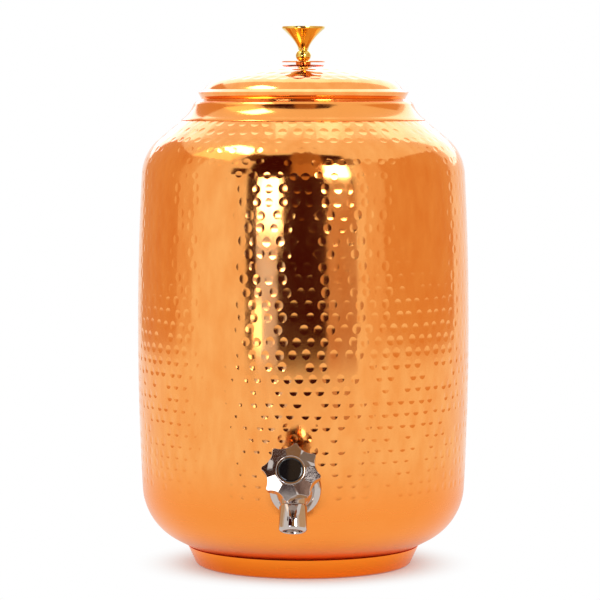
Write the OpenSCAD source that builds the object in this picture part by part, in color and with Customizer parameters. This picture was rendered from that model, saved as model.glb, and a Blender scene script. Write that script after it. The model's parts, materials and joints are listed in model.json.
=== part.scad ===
// Copper water dispenser: a copper tank on a foot ring, a lid that lifts off by its turned knob,
// and a chromed screw-down tap that a star knob opens.
// Millimetres. +Z is up, the origin is on the table under the middle of the foot, the tap faces -Y.

/* [Tank] */
// Greatest outside radius of the tank
tank_r = 118; // [112:0.5:140]
// Thickness of the tank's copper sheet
sheet_t = 1; // [0.6:0.1:2]
// Height of the side between the two rounded ends
side_h = 223.6; // [170:0.1:300]
// Radius of the slight barrel curve of the side
side_bow_r = 2050; // [1400:10:4000]
// Radius of the rounded lower edge
pan_r = 43; // [36:0.5:50]
// Angle that the lower edge turns through
pan_turn = 62.3; // [55:0.1:68]
// How far the edge of the flat floor lies in from the tank's greatest radius
floor_in = 36.7; // [32:0.1:44]
// Radius of the rounded shoulder
shoulder_r = 35.6; // [28:0.1:44]
// Angle that the shoulder turns through
shoulder_turn = 51; // [44:0.5:58]

/* [Neck] */
// Outside radius at the seam between shoulder and neck
neck_r = 84.6; // [80:0.1:92]
// Radius of the hollow curve of the neck
neck_bend_r = 22; // [16:0.5:28]
// Lean of the neck from upright where it meets the rim
neck_lean = 18; // [10:0.5:25]
// Radius of the rounded edge of the rim
rim_corner_r = 2.6; // [2.2:0.1:4]
// Width of the flat land on the rim
rim_land = 5.75; // [4.5:0.05:8]

/* [Foot] */
// Height of the foot ring
foot_h = 13.9; // [10:0.1:22]
// How far the foot ring stands out past the edge of the floor
foot_lip = 1.45; // [0.5:0.05:3]
// Outward flare of the foot ring's side from upright
foot_flare = 25; // [10:0.5:30]
// Radius of the foot ring's rounded lower corner
foot_corner_r = 4; // [3:0.1:6]
// Width of the foot ring's turned-in lower flange
foot_flange_w = 3.2; // [2:0.1:8]
// Width of the foot ring's turned-in upper flange
foot_top_w = 8; // [5:0.1:12]
// Thickness of the foot ring's sheet
foot_t = 1; // [0.6:0.1:2]

/* [Lid] */
// Thickness of the lid's copper sheet
lid_t = 1; // [0.6:0.1:1.8]
// How far the lid's widest edge stands out past the mouth
lid_overhang = 5.6; // [5:0.1:8]
// Height of the smooth band below the lid's widest edge
band_h = 4.85; // [3:0.05:8]
// How far the band draws in towards its lower edge
band_in = 2.6; // [1:0.1:3]
// Width of the sloping ledge above the lid's widest edge
ledge_w = 4.4; // [3:0.1:7]
// Slope of the ledge
ledge_slope = 23; // [10:0.5:30]
// Radius of the dome's rounded edge
edge_r = 18; // [10:0.5:26]
// Steepest slope of the dome's rounded edge
edge_turn = 60; // [45:0.5:70]
// Radius of the dome
dome_r = 190; // [140:1:240]
// Radial clearance of the lid's skirt in the mouth
skirt_gap = 0.7; // [0.4:0.05:1.5]
// Thickness of the skirt, and of the collar that lifts the lid off the rim
skirt_t = 1.4; // [0.8:0.1:2]
// Depth of the skirt below the rim
skirt_h = 14; // [8:0.5:24]
// How far the collar sits back from the lid's lower edge
collar_back = 1.4; // [0.8:0.1:1.8]

/* [Lid knob] */
// Radius of the hub that stands the knob's plate off the dome
hub_r = 5.4; // [4.5:0.1:8]
// Height of the hub under the plate
hub_h = 1.6; // [0.5:0.1:3]
// Radius of the plate
knob_plate_r = 15.3; // [12.5:0.1:20]
// Thickness of the plate
knob_plate_t = 0.8; // [0.5:0.1:3]
// Greatest radius of the bead of the finial
bead_r = 5.4; // [4.6:0.1:7]
// Height of the bead
bead_h = 6.9; // [6:0.1:10]
// Radius of the curve of the bead's side
bead_curve_r = 4.5; // [4:0.1:6]
// Radius of the groove above the bead
groove_r = 3; // [2.4:0.1:3.6]
// Height of the groove, and of the waist below the bead
groove_h = 0.5; // [0.3:0.1:1.5]
// Radius at the narrow end of the trumpet, and of the waist
throat_r = 3.5; // [3:0.1:3.7]
// Radius at the wide end of the trumpet
trumpet_r = 15.2; // [11:0.1:20]
// Height of the trumpet's flare
trumpet_h = 15.2; // [10:0.1:24]
// Power that shapes the flare
flare_power = 1.56; // [1.2:0.02:2.2]
// Height of the band round the wide end
trumpet_band = 1.5; // [0.6:0.1:3]
// Depth of the dish in the finial's top
dish_h = 0.7; // [0.2:0.1:1.4]
// Radius of the knob screw
knob_screw_r = 2.45; // [1.9:0.05:2.7]
// Length of the knob screw inside the finial
knob_screw_grip = 5; // [3:0.1:5.4]
// Radius of the knob screw's head
knob_head_r = 4.5; // [3.6:0.1:5.5]
// Height of the knob screw's head
knob_head_h = 2.8; // [2:0.1:4]
// Radius of the washer under the lid
knob_washer_r = 7; // [5.6:0.1:8]
// Thickness of the washer under the lid
knob_washer_t = 1; // [0.6:0.1:2]
// How far the flat top of the dome reaches past the washer
flat_margin = 2; // [1:0.1:4]

/* [Tap in the wall] */
// Height of the tap's tail above the table
tap_z = 67.5; // [62:0.5:150]
// Radius of the cover flange
flange_r = 17.5; // [16.8:0.1:22]
// Thickness of the cover flange
flange_t = 3; // [2:0.1:5]
// Radius of the edge rounding of the cover flange
flange_edge_r = 1.6; // [0.5:0.1:1.9]
// How far the flat round the tap hole reaches past the flange
pad_margin = 1.5; // [1:0.1:3]
// How deep the flat is pressed in at its edge
pad_press = 0.7; // [0.4:0.1:1.5]
// Distance from the flat down to the seam of the base pan
seam_margin = 3; // [1:0.5:10]
// Radius of the threaded tail
tail_r = 10.45; // [9.5:0.05:11.5]
// Radius of the waterway through the tail
inlet_r = 6.5; // [4.5:0.1:7.2]
// Length of the tail past the lock nut
tail_over = 2.5; // [1:0.1:10]
// Thickness of the gasket outside the wall
gasket_t = 1.5; // [1:0.1:3]
// Thickness of the gasket inside the wall
inner_gasket_t = 2.5; // [1:0.1:4]
// Outside radius of the gaskets and of the backing washer
gasket_r = 16.2; // [15.9:0.1:16.6]
// Thickness of the backing washer
backing_t = 1.5; // [1:0.1:3]
// Size of the lock nut across its flats
nut_af = 27; // [25.5:0.5:30]
// Height of the lock nut
nut_h = 7.5; // [5:0.1:10]

/* [Tap body] */
// Distance from the wall to the bend of the body
bend_u = 8; // [7:0.1:12]
// Upward tilt of the valve barrel
barrel_tilt = 21.5; // [12:0.5:35]
// Outside radius of the valve barrel
barrel_r = 12; // [11.8:0.1:14]
// How far the rounded elbow stands out past the barrel
elbow_out = 0.6; // [0.4:0.1:1.5]
// Step from the tail to the collar that bears on the flange
collar_step = 1.6; // [1.2:0.1:3]
// Distance of the valve seat from the bend, along the barrel
seat_w = 9; // [8.6:0.1:12]
// Thickness of the wall that holds the seat
seat_t = 3; // [2:0.1:3.4]
// Radius of the hole in the seat
seat_r = 4.5; // [3.8:0.1:5]
// Radius of the valve chamber
chamber_r = 9; // [8:0.1:9.4]
// Length of the valve chamber
chamber_len = 17; // [16:0.1:22]
// Distance of the outlet from the seat, along the barrel
port_from_seat = 5.5; // [5:0.1:6.5]
// Radius of the outlet
port_r = 4.5; // [3:0.1:4.8]
// Radius of the boss that carries the nozzle
boss_r = 8.5; // [8.2:0.1:9.4]
// Length of the boss from the barrel's axis
boss_l = 13.5; // [13:0.1:18]
// Radius of the stub inside the nozzle
stub_r = 7.5; // [7:0.05:7.9]
// Length of the stub
stub_l = 6.5; // [4:0.1:9]
// Outside radius of the nozzle
nozzle_r = 9.5; // [9:0.1:11]
// Radius of the nozzle's bore
nozzle_bore_r = 6.5; // [5:0.1:6.8]
// Length of the nozzle
nozzle_l = 18; // [14:0.1:26]
// Radius of the rounding round the nozzle's mouth
nozzle_edge_r = 2; // [0.6:0.1:2.1]

/* [Headpiece] */
// Length of the headpiece's thread in the barrel
bonnet_thread_l = 6.5; // [5:0.1:7]
// Thickness of the ring under the headpiece
bonnet_gasket_t = 1; // [0.6:0.1:2]
// Size of the headpiece across its flats
bonnet_af = 24; // [22.5:0.5:27]
// Height of the headpiece's hexagon
bonnet_hex_h = 6; // [4:0.1:9]
// Radius of the headpiece's tower
tower_r = 8; // [7.6:0.1:9]
// Height of the tower
tower_h = 7; // [6.5:0.1:10]
// Radius of the packing's pocket in the tower
pocket_r = 6.2; // [5.6:0.1:6.6]
// Height of the packing
packing_h = 3; // [2:0.1:4]
// How far the gland nut presses into the pocket
gland_press = 1; // [0.5:0.1:2]
// Size of the gland nut across its flats
gland_af = 21; // [20:0.5:24]
// Length of the gland nut's thread on the tower
gland_grip = 5; // [4:0.1:6]
// Thickness of the gland nut's cover
gland_cover_t = 2; // [1.2:0.1:3]

/* [Spindle and valve] */
// Pitch of the spindle's thread
thread_pitch = 2; // [1:0.1:2.2]
// Turns from shut to open
open_turns = 1.5; // [0.5:0.25:1.5]
// Radius of the spindle's thread
spindle_r = 5.45; // [4.8:0.05:6]
// Length of the spindle's thread
spindle_thread_l = 13; // [9:0.1:13.5]
// Radius of the spindle's stem
stem_r = 4; // [3.4:0.1:4.3]
// Size of the square at the spindle's end
square_w = 5.4; // [4:0.1:5.6]
// Radius of the jumper's plate
jumper_r = 6.2; // [5.6:0.1:7]
// Thickness of the jumper's plate
jumper_t = 2; // [1.2:0.1:2.4]
// Radius of the jumper's pin
pin_r = 1.95; // [1.5:0.05:2.2]
// Length of the jumper's pin in the spindle
pin_l = 8; // [5:0.1:9]
// Radius of the rubber washer
valve_washer_r = 6; // [5.5:0.1:6.6]
// Thickness of the rubber washer
valve_washer_t = 2.9; // [2:0.1:3.2]
// Radius of the stud that carries the washer and its nut
stud_r = 1.2; // [0.9:0.05:1.4]
// Size of the washer's nut across its flats
washer_nut_af = 5; // [4.5:0.1:6]
// Height of the washer's nut
washer_nut_h = 2; // [1.2:0.1:3]

/* [Star knob] */
// Number of lobes of the star knob
lobes = 8; // [6:1:10]
// Radius of the star knob at its lobes
lobe_r = 19.9; // [18.5:0.1:24]
// Radius of the star knob between its lobes
valley_r = 16.3; // [14:0.1:17]
// Radius of the scallops between the lobes
scallop_r = 15; // [11:0.1:20]
// Turn of the first lobe from the knob's right-hand side
lobe_turn = 82; // [0:1:90]
// Thickness of the star knob at its rim
knob_rim_t = 8; // [6:0.1:12]
// Rise of the knob's face from the rim to the bezel
knob_face_h = 3.5; // [2:0.1:6]
// Chamfer round the knob's back
knob_back_c = 2.5; // [1:0.1:4]
// Thickness of the knob's web round the square
knob_web_t = 5.5; // [4:0.1:6]
// Radius of the recess in the knob's face
recess_r = 7.6; // [6:0.1:7.8]
// Radius of the handle screw
handle_screw_r = 1.45; // [1:0.05:1.7]
// Length of the handle screw in the spindle
handle_screw_l = 6; // [4:0.1:8]
// Radius of the handle screw's head
handle_head_r = 3.6; // [3.3:0.1:4.2]
// Height of the handle screw's head
handle_head_h = 2.2; // [1.4:0.1:2.6]
// Radius of the bezel round the cap
bezel_r = 9.9; // [9.4:0.1:12]
// Height of the bezel
bezel_h = 2.5; // [1.6:0.1:4]
// Thickness of the bezel's back plate
bezel_back_t = 0.8; // [0.5:0.1:1]
// Length of the bezel's spigot in the recess
spigot_l = 1.8; // [1:0.1:2.6]
// Wall of the bezel's spigot
spigot_wall = 1.4; // [0.8:0.1:1.8]
// Radius of the cap disc
cap_r = 8.4; // [7.6:0.1:8.6]
// Rise of the cap disc's crown past the bezel's pocket
cap_crown = 0.4; // [0.2:0.1:1]

/* [Fits] */
// Radial clearance of a threaded or running fit
running_fit = 0.05; // [0.02:0.01:0.1]
// Radial clearance of a clearance hole
hole_gap = 0.3; // [0.15:0.05:0.6]
// Gap between faces that press on each other when the tap is shut
shut_gap = 0.05; // [0.02:0.01:0.1]
// Clearance between the star knob and the gland nut
knob_gap = 1.5; // [0.8:0.1:4]
// Room that stays past the end of a moving thread or pin
end_room = 0.5; // [0.3:0.1:2]

/* [Hidden] */
$fn = 96;
// How far a cutter runs past the face that it opens
over = 1;
// Steps in which round stretches of a profile are drawn
arc_steps = 12;

// Points of an arc round c from angle a0 to a1, leaving out the first when it joins a curve
function arc(c, r, a0, a1, first = 0, n = arc_steps) =
    [for (i = [first:n]) let (a = a0 + (a1 - a0) * i / n) c + r * [cos(a), sin(a)]];
// Unit normal on the left of the way from p to q
function left(p, q) = let (d = q - p) [-d[1], d[0]] / norm(d);
// The path moved to its left by t, with mitred corners
function inset(path, t) = let (m = len(path) - 1) [for (i = [0:m])
    let (a = left(path[max(i - 1, 0)], path[max(i, 1)]))
    let (b = left(path[min(i, m - 1)], path[min(i + 1, m)]))
    path[i] + t * (a + b) / (1 + a * b)];
function reversed(path) = [for (i = [len(path) - 1:-1:0]) path[i]];
// Section of a sheet of thickness t that lies on the left of the path
function sheet(path, t) = concat(path, reversed(inset(path, t)));

// Tank: the side, then the lower edge set on the floor, the shoulder, the neck and the rim
side_a = asin(side_h / 2 / side_bow_r);
side_end_r = tank_r - side_bow_r * (1 - cos(side_a));
floor_r = tank_r - floor_in;
pan_c_r = side_end_r - pan_r * cos(side_a);
pan_end_r = pan_c_r + pan_r * cos(pan_turn);
pan_end_z = foot_h + (pan_end_r - floor_r) / tan(pan_turn);
pan_c = [pan_c_r, pan_end_z + pan_r * sin(pan_turn)];
side_low_z = pan_c[1] - pan_r * sin(side_a);
side_c = [tank_r - side_bow_r, side_low_z + side_h / 2];
shoulder_c = [side_end_r - shoulder_r * cos(side_a), side_low_z + side_h - shoulder_r * sin(side_a)];
shoulder_end = shoulder_c + shoulder_r * [cos(shoulder_turn), sin(shoulder_turn)];
seam_z = shoulder_end[1] + (shoulder_end[0] - neck_r) / tan(shoulder_turn);
neck_c = [neck_r, seam_z] + neck_bend_r * [cos(shoulder_turn), sin(shoulder_turn)];
rim_c = neck_c - (neck_bend_r + rim_corner_r) * [cos(neck_lean), sin(neck_lean)];
rim_z = rim_c[1] + rim_corner_r;
mouth_r = rim_c[0] - rim_land;
tank_path = concat(
    [[0, foot_h], [floor_r, foot_h]],
    arc(pan_c, pan_r, -pan_turn, -side_a),
    arc(side_c, side_bow_r, -side_a, side_a, 1),
    arc(shoulder_c, shoulder_r, side_a, shoulder_turn, 1),
    arc(neck_c, neck_bend_r, 180 + shoulder_turn, 180 + neck_lean),
    arc(rim_c, rim_corner_r, neck_lean, 90, 1),
    [[mouth_r, rim_z]]);

// Foot ring: flange on the table, rounded corner, flared side, flange under the floor
foot_r = floor_r + foot_lip;
foot_side_z = foot_corner_r * (1 - sin(foot_flare));
foot_c_r = foot_r - (foot_h - foot_side_z) * tan(foot_flare) - foot_corner_r * cos(foot_flare);
foot_path = concat(
    [[foot_c_r - foot_flange_w, 0]],
    arc([foot_c_r, foot_corner_r], foot_corner_r, -90, -foot_flare),
    [[foot_r, foot_h], [foot_r - foot_top_w, foot_h]]);

// Lid: the skirt hangs in the mouth, its collar lies on the rim, and the lid lies on the collar
skirt_r = mouth_r - skirt_gap;
lid_r = mouth_r + lid_overhang;
lid_low_r = lid_r - band_in;
lid_low_z = rim_z + skirt_t;
band_top_z = lid_low_z + band_h;
ledge_in = [lid_r - ledge_w, band_top_z + ledge_w * tan(ledge_slope)];
edge_c = ledge_in - edge_r * [sin(edge_turn), cos(edge_turn)];
dome_a = asin(edge_c[0] / (dome_r - edge_r));
dome_c = [0, edge_c[1] - (dome_r - edge_r) * cos(dome_a)];
top_flat_r = knob_washer_r + flat_margin;
top_flat_a = asin(top_flat_r / dome_r);
lid_top_z = dome_c[1] + dome_r * cos(top_flat_a);
lid_path = concat(
    [[skirt_r, lid_low_z], [lid_low_r, lid_low_z], [lid_r, band_top_z]],
    arc(edge_c, edge_r, 90 - edge_turn, 90 - dome_a),
    arc(dome_c, dome_r, 90 - dome_a, 90 - top_flat_a, 1),
    [[0, lid_top_z]]);
skirt_path = [[skirt_r, rim_z - skirt_h], [skirt_r, rim_z], [lid_low_r - collar_back, rim_z]];

// Lid knob: hub, plate and finial stand on the flat top of the dome
plate_z = lid_top_z + hub_h;
finial_z = plate_z + knob_plate_t;
bead_a = asin(bead_h / 2 / bead_curve_r);
bead_z = finial_z + groove_h;
groove_z = bead_z + bead_h;
throat_z = groove_z + groove_h;
trumpet_z = throat_z + trumpet_h;
finial_top_z = trumpet_z + trumpet_band;
finial_path = concat(
    [[0, finial_z], [throat_r, finial_z], [throat_r, bead_z]],
    arc([bead_r - bead_curve_r, bead_z + bead_h / 2], bead_curve_r, -bead_a, bead_a),
    [[groove_r, groove_z], [groove_r, throat_z]],
    [for (i = [0:arc_steps]) let (s = i / arc_steps)
        [throat_r + (trumpet_r - throat_r) * pow(s, flare_power), throat_z + trumpet_h * s]],
    [[trumpet_r, finial_top_z], [0, finial_top_z - dish_h]]);
knob_washer_z = lid_top_z - lid_t - knob_washer_t;

// Flat pressed into the wall round the tap hole, and the seam that the base pan meets below it
pad_r = flange_r + pad_margin;
tap_wall_r = side_c[0] + sqrt(pow(side_bow_r, 2) - pow(tap_z - side_c[1], 2));
pad_y = -(sqrt(pow(tap_wall_r, 2) - pow(pad_r, 2)) - pad_press);
tap_hole_r = tail_r + hole_gap;
pan_seam_z = tap_z - pad_r - sheet_t - seam_margin;

// Places along the tail, measured out of the wall from the face of the flat
flange_u = gasket_t;
bearing_u = flange_u + flange_t;
inner_gasket_u = -sheet_t - inner_gasket_t;
backing_u = inner_gasket_u - backing_t;
nut_u = backing_u - nut_h;
tail_u = nut_u - tail_over;
collar_r = tail_r + collar_step;

// Places along the barrel, measured from the bend
washer_w = seat_w + shut_gap;
jumper_w = washer_w + valve_washer_t;
spindle_w = jumper_w + jumper_t + shut_gap;
thread_end_w = spindle_w + spindle_thread_l;
lift = thread_pitch * open_turns;
port_w = seat_w + port_from_seat;
barrel_end_w = seat_w + chamber_len;
bonnet_w = barrel_end_w - bonnet_thread_l;
hex_w = barrel_end_w + bonnet_gasket_t;
tower_w = hex_w + bonnet_hex_h;
tower_end_w = tower_w + tower_h;
bore_end_w = thread_end_w + lift + end_room;
packing_w = tower_end_w - gland_press - packing_h;
gland_w = tower_end_w - gland_grip;
gland_end_w = tower_end_w + gland_cover_t;
knob_w = gland_end_w + knob_gap;
web_w = knob_w + knob_web_t;
knob_rim_w = knob_w + knob_rim_t;
face_w = knob_rim_w + knob_face_h;
square_l = knob_web_t - end_room;
pocket_w = face_w + bezel_back_t;
cap_t = bezel_h - bezel_back_t;

copper = "#d98545";
brass = "#dba53a";
chrome = "#c8cbcf";
steel = "#a9adb2";
rubber = "#2a2a2c";
fibre = "#8d3f2c";
black = "#151515";

// A turned piece from its half section
module lathe(section) rotate_extrude() polygon(section);
// A ring of height h on z = 0
module ring(r_out, r_in, h) difference() {
    cylinder(r = r_out, h = h);
    translate([0, 0, -over]) cylinder(r = r_in, h = h + 2 * over);
}
// A hexagonal prism of height h on z = 0, sized across its flats
module hexagon(af, h) cylinder(d = af / cos(30), h = h, $fn = 6);
// Places things on the tail's axis, u outside the flat, with +Z out of the wall
module on_tail(u) translate([0, pad_y - u, tap_z]) rotate([90, 0, 0]) children();
// Places things on the barrel's axis, w past the bend, with +Z out of the barrel
module on_barrel(w) translate([0, pad_y - bend_u, tap_z]) rotate([90 - barrel_tilt, 0, 0])
    translate([0, 0, w]) children();
// Places things on the outlet's axis, l from the barrel's axis, with +Z out of the mouth
module on_outlet(l) on_barrel(port_w) rotate([90, 0, 0]) translate([0, 0, l]) children();
// The part of the tank's sheet between two heights
module tank_band(z0, z1) rotate_extrude() intersection() {
    polygon(sheet(tank_path, sheet_t));
    translate([0, z0]) square([tank_r + over, z1 - z0]);
}

module foot_ring() color(copper) lathe(sheet(foot_path, foot_t));

module base_pan() color(copper) tank_band(0, pan_seam_z);

module tank_shell() color(copper) difference() {
    union() {
        difference() {
            tank_band(pan_seam_z, seam_z);
            on_tail(0) cylinder(r = pad_r, h = tank_r);
        }
        // The pressed flat: a shallow cup that ends on the outside of the wall
        difference() {
            intersection() {
                on_tail(-sheet_t) cylinder(r = pad_r + sheet_t, h = tank_r);
                rotate_extrude() polygon(concat(tank_path, [[0, rim_z]]));
            }
            on_tail(0) cylinder(r = pad_r, h = tank_r);
        }
    }
    on_tail(-sheet_t - over) cylinder(r = tap_hole_r, h = sheet_t + 2 * over);
}

module neck_collar() color(copper) tank_band(seam_z, rim_z + over);

module lid_dome() color(copper) difference() {
    lathe(sheet(lid_path, lid_t));
    translate([0, 0, lid_top_z - lid_t - over])
        cylinder(r = knob_screw_r + hole_gap, h = lid_t + 2 * over);
}

module lid_skirt() color(copper) lathe(sheet(skirt_path, skirt_t));

module knob_plate() color(copper) difference() {
    union() {
        translate([0, 0, lid_top_z]) cylinder(r = hub_r, h = hub_h);
        translate([0, 0, plate_z]) cylinder(r = knob_plate_r, h = knob_plate_t);
    }
    translate([0, 0, lid_top_z - over])
        cylinder(r = knob_screw_r + hole_gap, h = hub_h + knob_plate_t + 2 * over);
}

module knob_finial() color(brass) difference() {
    lathe(finial_path);
    translate([0, 0, finial_z - over])
        cylinder(r = knob_screw_r + running_fit, h = knob_screw_grip + end_room + over);
}

module knob_washer() color(steel) translate([0, 0, knob_washer_z])
    ring(knob_washer_r, knob_screw_r + hole_gap, knob_washer_t);

module knob_screw() color(steel) {
    translate([0, 0, knob_washer_z - knob_head_h]) cylinder(r = knob_head_r, h = knob_head_h);
    translate([0, 0, knob_washer_z])
        cylinder(r = knob_screw_r, h = finial_z + knob_screw_grip - knob_washer_z);
}

module tap_body() color(chrome) difference() {
    union() {
        // Elbow, barrel and collar end on the face that bears on the flange
        difference() {
            union() {
                on_barrel(0) sphere(r = barrel_r + elbow_out);
                on_barrel(0) cylinder(r = barrel_r, h = barrel_end_w);
                on_tail(bearing_u) cylinder(r = collar_r, h = bend_u - bearing_u);
            }
            on_tail(bearing_u - 2 * barrel_r) cylinder(r = 2 * barrel_r, h = 2 * barrel_r);
        }
        on_tail(tail_u) cylinder(r = tail_r, h = bend_u - tail_u);
        on_outlet(0) cylinder(r = boss_r, h = boss_l);
        on_outlet(0) cylinder(r = stub_r, h = boss_l + stub_l);
    }
    on_tail(tail_u - over) cylinder(r = inlet_r, h = bend_u - tail_u + over);
    on_barrel(0) sphere(r = inlet_r + elbow_out);
    on_barrel(0) lathe([[0, 0], [inlet_r, 0], [inlet_r, seat_w - seat_t], [seat_r, seat_w - seat_t],
        [seat_r, seat_w], [chamber_r, seat_w], [chamber_r, barrel_end_w + over], [0, barrel_end_w + over]]);
    on_outlet(0) cylinder(r = port_r, h = boss_l + stub_l + over);
}

module tap_flange() color(chrome) on_tail(flange_u) lathe(concat(
    [[tap_hole_r, 0], [flange_r, 0]],
    arc([flange_r - flange_edge_r, flange_t - flange_edge_r], flange_edge_r, 0, 90),
    [[tap_hole_r, flange_t]]));

module outer_gasket() color(rubber) on_tail(0) ring(gasket_r, tap_hole_r, gasket_t);

module inner_gasket() color(rubber) on_tail(inner_gasket_u) ring(gasket_r, tap_hole_r, inner_gasket_t);

module backing_washer() color(steel) on_tail(backing_u) ring(gasket_r, tap_hole_r, backing_t);

module lock_nut() color(chrome) on_tail(nut_u) difference() {
    hexagon(nut_af, nut_h);
    translate([0, 0, -over]) cylinder(r = tail_r + running_fit, h = nut_h + 2 * over);
}

module spout_nozzle() color(chrome) on_outlet(boss_l) lathe(concat(
    [[stub_r + running_fit, 0], [nozzle_r, 0]],
    arc([nozzle_r - nozzle_edge_r, nozzle_l - nozzle_edge_r], nozzle_edge_r, 0, 90),
    [[nozzle_bore_r, nozzle_l], [nozzle_bore_r, stub_l + shut_gap]],
    [[stub_r + running_fit, stub_l + shut_gap]]));

module bonnet() color(chrome) difference() {
    union() {
        on_barrel(bonnet_w) cylinder(r = chamber_r - running_fit, h = hex_w - bonnet_w);
        on_barrel(hex_w) hexagon(bonnet_af, bonnet_hex_h);
        on_barrel(tower_w) cylinder(r = tower_r, h = tower_h);
    }
    on_barrel(bonnet_w - over) cylinder(r = spindle_r + running_fit, h = bore_end_w - bonnet_w + over);
    on_barrel(bonnet_w) cylinder(r = stem_r + running_fit, h = tower_end_w - bonnet_w);
    on_barrel(packing_w) cylinder(r = pocket_r, h = tower_end_w - packing_w + over);
}

module bonnet_gasket() color(fibre) on_barrel(barrel_end_w) ring(barrel_r - hole_gap, chamber_r, bonnet_gasket_t);

module gland_packing() color(black) on_barrel(packing_w)
    ring(pocket_r - running_fit, stem_r + running_fit, packing_h);

module gland_nut() color(chrome) difference() {
    on_barrel(gland_w) hexagon(gland_af, gland_end_w - gland_w);
    // The thread leaves a collar standing, which presses on the packing
    difference() {
        on_barrel(gland_w - over) cylinder(r = tower_r + running_fit, h = gland_grip + over);
        on_barrel(packing_w + packing_h) cylinder(r = pocket_r - running_fit, h = gland_press);
    }
    on_barrel(gland_w) cylinder(r = stem_r + hole_gap, h = gland_end_w - gland_w + over);
}

module spindle() color(brass) difference() {
    union() {
        on_barrel(spindle_w) cylinder(r = spindle_r, h = spindle_thread_l);
        on_barrel(thread_end_w) cylinder(r = stem_r, h = knob_w - thread_end_w);
        on_barrel(knob_w) linear_extrude(square_l) square(square_w, center = true);
    }
    on_barrel(spindle_w - over) cylinder(r = pin_r + running_fit, h = pin_l + end_room + over);
    on_barrel(knob_w + square_l - handle_screw_l)
        cylinder(r = handle_screw_r + running_fit, h = handle_screw_l + over);
}

module star_knob() color(chrome) on_barrel(0) difference() {
    intersection() {
        translate([0, 0, knob_w]) linear_extrude(face_w - knob_w) difference() {
            circle(r = lobe_r);
            for (i = [1:lobes]) rotate(lobe_turn + (i - 0.5) * 360 / lobes)
                translate([valley_r + scallop_r, 0]) circle(r = scallop_r);
        }
        lathe([[0, knob_w], [lobe_r - knob_back_c, knob_w], [lobe_r + over, knob_w + knob_back_c + over],
            [lobe_r + over, knob_rim_w], [lobe_r, knob_rim_w], [bezel_r, face_w], [0, face_w]]);
    }
    translate([0, 0, knob_w - over]) linear_extrude(knob_web_t + 2 * over)
        square(square_w + 2 * running_fit, center = true);
    translate([0, 0, web_w]) cylinder(r = recess_r, h = face_w - web_w + over);
}

module handle_screw() color(steel) on_barrel(web_w) {
    cylinder(r = handle_head_r, h = handle_head_h);
    translate([0, 0, end_room - handle_screw_l]) cylinder(r = handle_screw_r, h = handle_screw_l);
}

module cap_bezel() color(chrome) on_barrel(0) lathe([
    [0, face_w], [recess_r - running_fit - spigot_wall, face_w],
    [recess_r - running_fit - spigot_wall, face_w - spigot_l], [recess_r - running_fit, face_w - spigot_l],
    [recess_r - running_fit, face_w], [bezel_r, face_w], [bezel_r, face_w + bezel_h],
    [cap_r + running_fit, face_w + bezel_h], [cap_r + running_fit, pocket_w], [0, pocket_w]]);

module cap_disc() color(black) on_barrel(pocket_w) lathe([
    [0, 0], [cap_r, 0], [cap_r, cap_t],
    for (i = [1:arc_steps]) let (s = i / arc_steps) [cap_r * (1 - s), cap_t + cap_crown * (1 - pow(1 - s, 2))]]);

module valve_jumper() color(brass) {
    on_barrel(washer_w - washer_nut_h) cylinder(r = stud_r, h = jumper_w - washer_w + washer_nut_h);
    on_barrel(jumper_w) cylinder(r = jumper_r, h = jumper_t);
    on_barrel(jumper_w + jumper_t) cylinder(r = pin_r, h = shut_gap + pin_l);
}

module valve_washer() color(rubber) on_barrel(washer_w)
    ring(valve_washer_r, stud_r + running_fit, valve_washer_t);

module washer_nut() color(brass) on_barrel(washer_w - washer_nut_h) difference() {
    hexagon(washer_nut_af, washer_nut_h);
    translate([0, 0, -over]) cylinder(r = stud_r + running_fit, h = washer_nut_h + 2 * over);
}

foot_ring();
base_pan();
tank_shell();
neck_collar();
lid_dome();
lid_skirt();
knob_plate();
knob_finial();
knob_washer();
knob_screw();
tap_body();
tap_flange();
outer_gasket();
inner_gasket();
backing_washer();
lock_nut();
spout_nozzle();
bonnet();
bonnet_gasket();
gland_packing();
gland_nut();
spindle();
star_knob();
handle_screw();
cap_bezel();
cap_disc();
valve_jumper();
valve_washer();
washer_nut();
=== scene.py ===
# Copper water dispenser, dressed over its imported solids: its pieces in the order in which it is put together,
# then the stage. Sizes are in millimetres, and mm turns them to metres. +Z is up and the tap faces -Y.
import json
import random
from bisect import bisect
from math import atan2, cos, degrees, hypot, pi, radians, sin

import bpy
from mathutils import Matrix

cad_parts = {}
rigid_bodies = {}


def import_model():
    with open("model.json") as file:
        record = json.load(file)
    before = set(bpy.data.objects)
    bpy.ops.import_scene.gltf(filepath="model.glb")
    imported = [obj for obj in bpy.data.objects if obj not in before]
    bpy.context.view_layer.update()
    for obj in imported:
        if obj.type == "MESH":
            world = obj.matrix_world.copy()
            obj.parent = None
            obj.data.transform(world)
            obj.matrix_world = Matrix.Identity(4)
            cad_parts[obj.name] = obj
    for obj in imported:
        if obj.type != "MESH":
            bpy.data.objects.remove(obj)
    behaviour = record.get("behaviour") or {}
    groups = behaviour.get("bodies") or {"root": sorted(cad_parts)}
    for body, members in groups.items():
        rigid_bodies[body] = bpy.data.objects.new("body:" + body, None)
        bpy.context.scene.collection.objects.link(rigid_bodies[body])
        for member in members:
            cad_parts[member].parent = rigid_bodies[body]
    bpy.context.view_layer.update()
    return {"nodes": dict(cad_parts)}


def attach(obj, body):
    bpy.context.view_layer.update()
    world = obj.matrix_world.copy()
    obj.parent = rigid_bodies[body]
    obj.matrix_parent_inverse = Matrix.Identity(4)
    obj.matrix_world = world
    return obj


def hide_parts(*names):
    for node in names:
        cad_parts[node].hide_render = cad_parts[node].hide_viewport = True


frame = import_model()

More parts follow.
